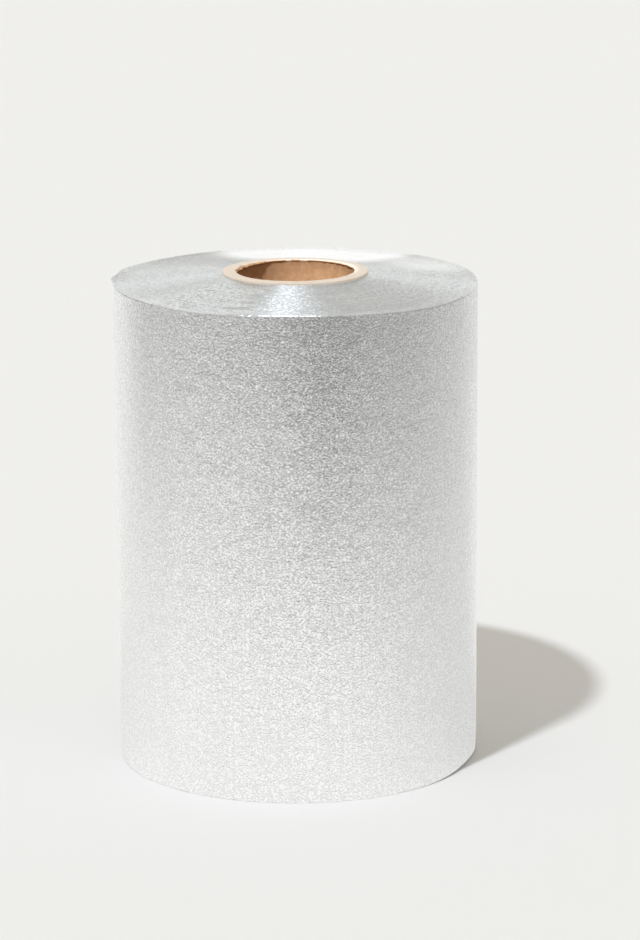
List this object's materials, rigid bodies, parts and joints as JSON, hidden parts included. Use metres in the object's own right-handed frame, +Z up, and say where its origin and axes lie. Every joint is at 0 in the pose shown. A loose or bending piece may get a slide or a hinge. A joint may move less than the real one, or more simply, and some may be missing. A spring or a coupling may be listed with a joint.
{
  "type": "aluminium foil roll",
  "caption": "Roll of embossed aluminium foil wound on a plain paperboard core, standing on its end, for tearing off strips by hand or from a holder's spindle.",
  "frame": {"origin": "on the roll's axis, at the level of the outermost turns' lower edge, which the roll stands on", "axes": "+Z up along the roll's axis, towards the end where the core stands proud; -Y faces the picture's camera, and the foil's loose end lies behind, towards +Y"},
  "size_m": [0.0948, 0.095, 0.1298],
  "materials": {
    "foil": "embossed in a fine pebble on the sheet, with bright cut edges at the ends",
    "paperboard": "uncoated kraft paperboard, paler on the cut ends"
  },
  "bodies": {
    "root": {"foil_winding": "foil", "cardboard_core": "paperboard"}
  },
  "joints": []
}
